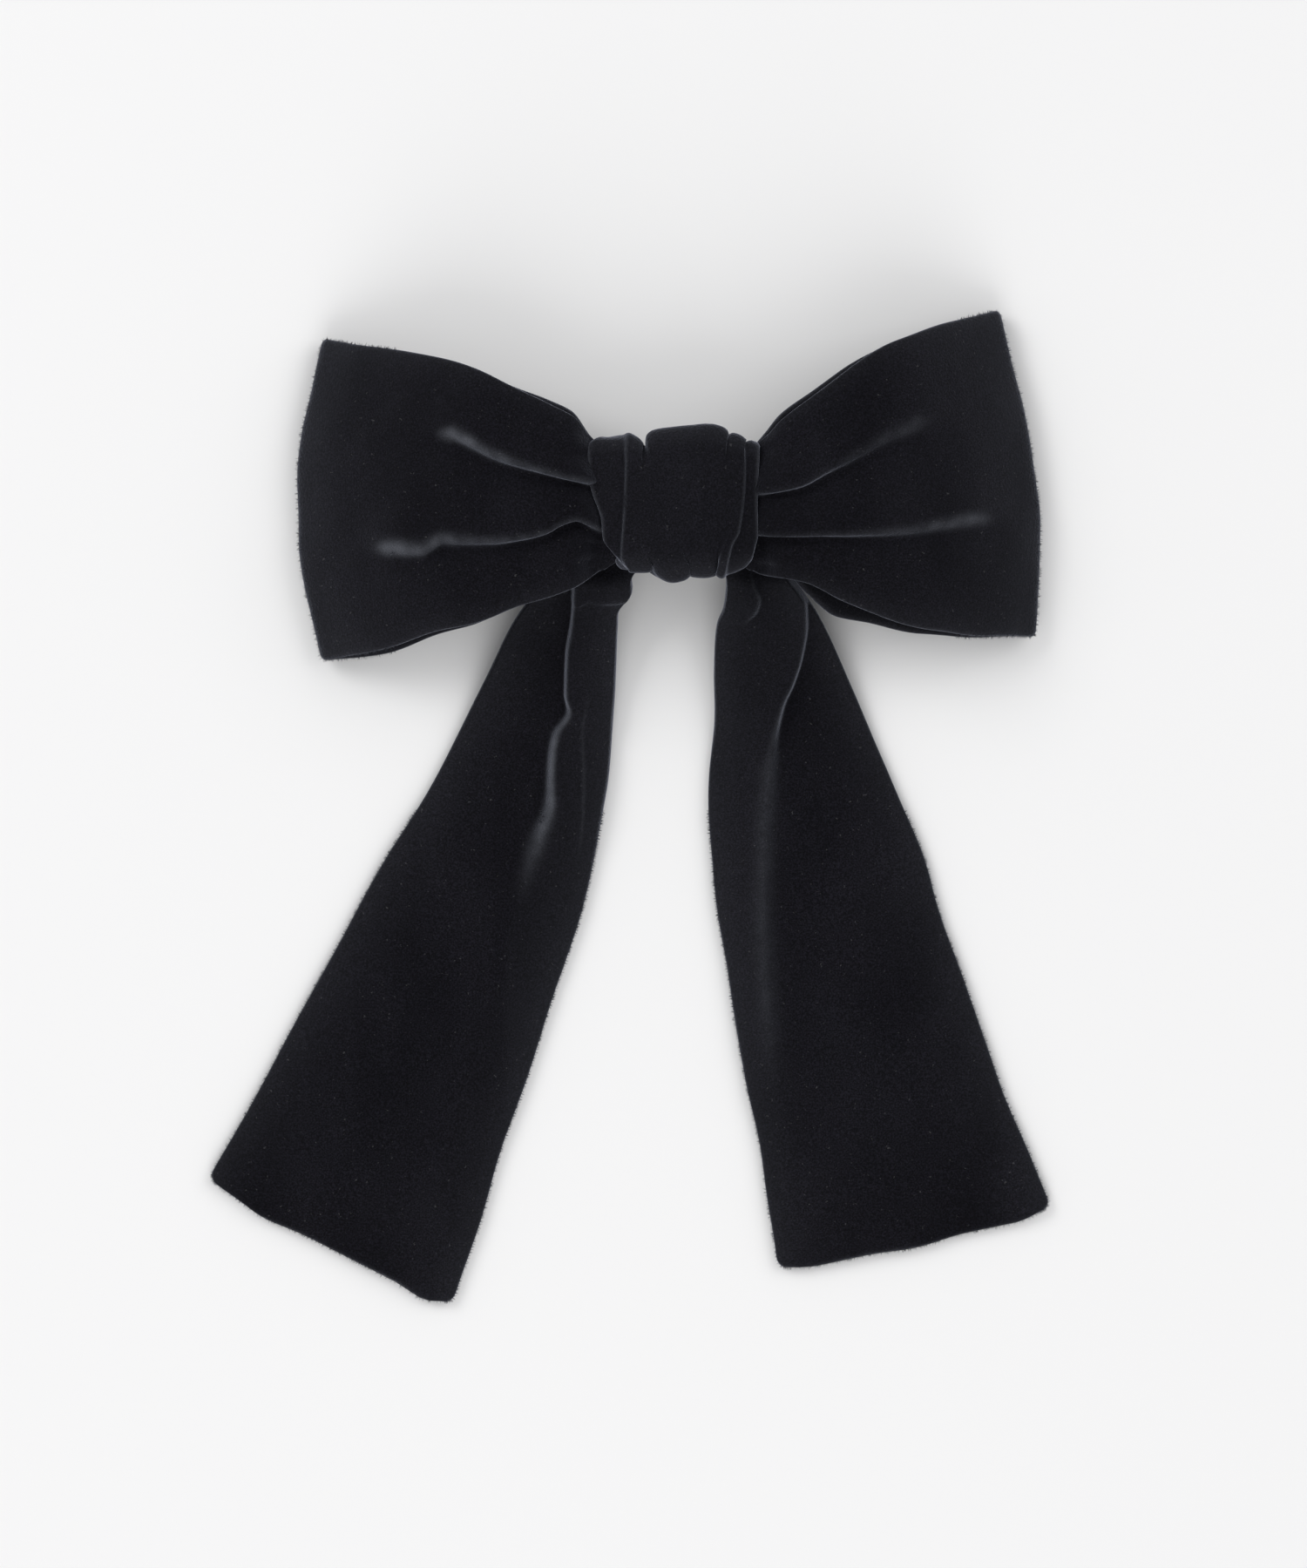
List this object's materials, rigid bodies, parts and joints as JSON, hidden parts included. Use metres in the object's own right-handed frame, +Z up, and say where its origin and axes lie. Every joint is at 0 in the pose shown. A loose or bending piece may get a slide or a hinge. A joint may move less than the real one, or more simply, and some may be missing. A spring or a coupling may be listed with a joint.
{
  "type": "hair bow",
  "caption": "Large black velvet hair bow with two broad loops, a wrapped knot and two long tails, on a French barrette clip.",
  "frame": {"origin": "on the table the bow lies on, below the middle of its outline", "axes": "+Z up out of the front of the bow, +Y towards the top of the bow as worn, +X to the right seen from the front"},
  "size_m": [0.1914, 0.2278, 0.0321],
  "materials": {
    "velvet": "matte",
    "felt": "matte",
    "thread": "satin",
    "plated_steel": "polished",
    "spring_steel": "satin"
  },
  "bodies": {
    "bow": {"left_loop": "velvet", "right_loop": "velvet", "left_tail": "velvet", "right_tail": "velvet", "knot_wrap": "velvet", "binding_thread": "thread", "tail_stitches": "thread", "knot_seam_stitches": "thread", "back_pad": "felt", "clip_lashing_left": "thread", "clip_lashing_right": "thread", "clip_base_plate": "plated_steel", "clip_tension_spring": "spring_steel", "clip_hinge_pin": "plated_steel", "catch_bracket": "plated_steel", "catch_rivet": "plated_steel"},
    "clasp_arm": {"clip_clasp_arm": "plated_steel"},
    "upper_ear": {"catch_ear_top": "spring_steel"},
    "lower_ear": {"catch_ear_bottom": "spring_steel"}
  },
  "joints": [
    {"name": "clasp_hinge", "type": "hinge", "parent": "bow", "child": "clasp_arm", "pos_m": [-0.0277, 0.0695, 0.0044], "axis": [0, 1, 0], "range_deg": [0, 80]},
    {"name": "upper_ear_squeeze", "type": "hinge", "parent": "bow", "child": "upper_ear", "pos_m": [0.0486, 0.07135, 0.0096], "axis": [-1, 0, 0], "range_deg": [0, 8], "stiffness_Nm_per_rad": 0.1},
    {"name": "lower_ear_squeeze", "type": "hinge", "parent": "bow", "child": "lower_ear", "pos_m": [0.0486, 0.06765, 0.0096], "axis": [1, 0, 0], "range_deg": [0, 8], "stiffness_Nm_per_rad": 0.1}
  ],
  "couplings": [
    {"joint": "lower_ear_squeeze", "follows": "upper_ear_squeeze", "ratio": 1}
  ]
}
